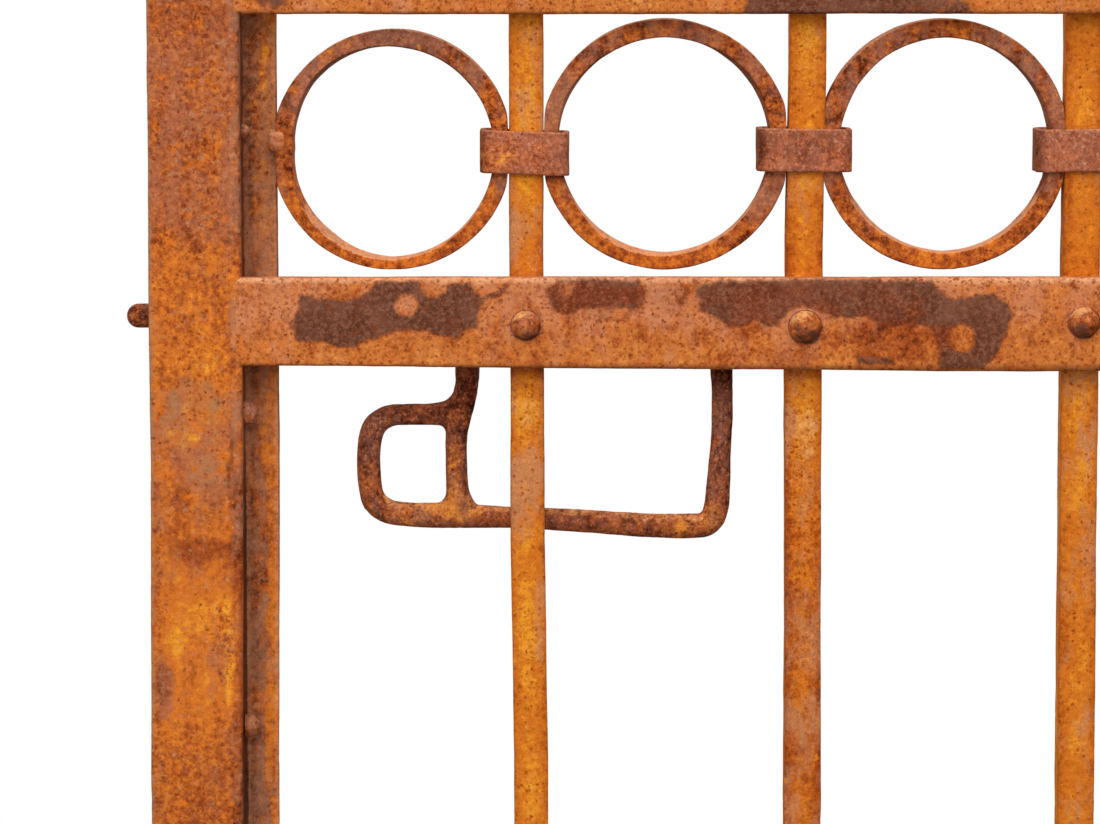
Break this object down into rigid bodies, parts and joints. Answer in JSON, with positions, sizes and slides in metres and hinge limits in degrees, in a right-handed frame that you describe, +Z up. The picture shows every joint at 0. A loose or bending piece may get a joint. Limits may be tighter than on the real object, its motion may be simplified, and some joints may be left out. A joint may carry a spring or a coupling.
{
  "type": "wrought iron gate",
  "caption": "Rusty wrought iron garden gate leaf: angle iron stiles, riveted rails and bars, a frieze of collared rings, a slide bolt with a rod handle, and pintle hinges.",
  "frame": {"origin": "on the hinge post's face, at the middle of the lower pintle bracket's back", "axes": "+X along the gate from the lock side to the hinge post, +Y from the gate's front to its back, +Z up"},
  "size_m": [1.0102, 0.0538, 1],
  "materials": {
    "stile_rust": "bright orange-brown rust with pits and ochre streaks",
    "inner_angle_rust": "dark grey-brown rust, orange along its edge",
    "rail_rust": "orange-brown rust with dark scale patches",
    "bar_rust": "ochre-orange rust with pits",
    "ring_rust": "mottled brown rust",
    "collar_rust": "mauve-brown rust with orange flecks",
    "rivet_rust": "brown rust, rubbed on the domes",
    "latch_rust": "dark brown rust, orange where hands don't reach",
    "hinge_rust": "brown rust, dark where the eye turns"
  },
  "bodies": {
    "post_pintles": {"lower_pintle_bracket": "hinge_rust", "upper_pintle_bracket": "hinge_rust", "lower_pintle_pin": "hinge_rust", "upper_pintle_pin": "hinge_rust", "hinge_washers": "hinge_rust"},
    "gate_leaf": {"lock_stile": "stile_rust", "hinge_stile": "stile_rust", "lock_inner_angle": "inner_angle_rust", "hinge_inner_angle": "inner_angle_rust", "lock_stile_rivets": "rivet_rust", "hinge_stile_rivets": "rivet_rust", "top_rail": "rail_rust", "lock_rail": "rail_rust", "bottom_rail": "rail_rust", "top_rail_rivets": "rivet_rust", "lock_rail_rivets": "rivet_rust", "bottom_rail_rivets": "rivet_rust", "bar_1": "bar_rust", "bar_2": "bar_rust", "bar_3": "bar_rust", "bar_4": "bar_rust", "bar_5": "bar_rust", "bar_6": "bar_rust", "ring_1": "ring_rust", "ring_2": "ring_rust", "ring_3": "ring_rust", "ring_4": "ring_rust", "ring_5": "ring_rust", "ring_6": "ring_rust", "ring_7": "ring_rust", "collar_1": "collar_rust", "collar_2": "collar_rust", "collar_3": "collar_rust", "collar_4": "collar_rust", "collar_5": "collar_rust", "collar_6": "collar_rust", "ring_weld_lock": "ring_rust", "ring_weld_hinge": "ring_rust", "stile_bolt_guide": "latch_rust", "bar_bolt_guide": "latch_rust", "stile_guide_rivets": "rivet_rust", "bar_guide_rivets": "rivet_rust", "lower_hinge_eye": "hinge_rust", "upper_hinge_eye": "hinge_rust", "hinge_eye_rivets": "rivet_rust"},
    "latch": {"latch_bolt": "latch_rust", "latch_handle": "latch_rust", "bolt_stop_pin": "latch_rust"}
  },
  "joints": [
    {"name": "gate_swing", "type": "hinge", "parent": "post_pintles", "child": "gate_leaf", "pos_m": [-0.036, 0, 0], "axis": [0, 0, -1], "range_deg": [0, 100]},
    {"name": "bolt_slide", "type": "slide", "parent": "gate_leaf", "child": "latch", "axis": [1, 0, 0], "range_m": [0, 0.0225]}
  ]
}
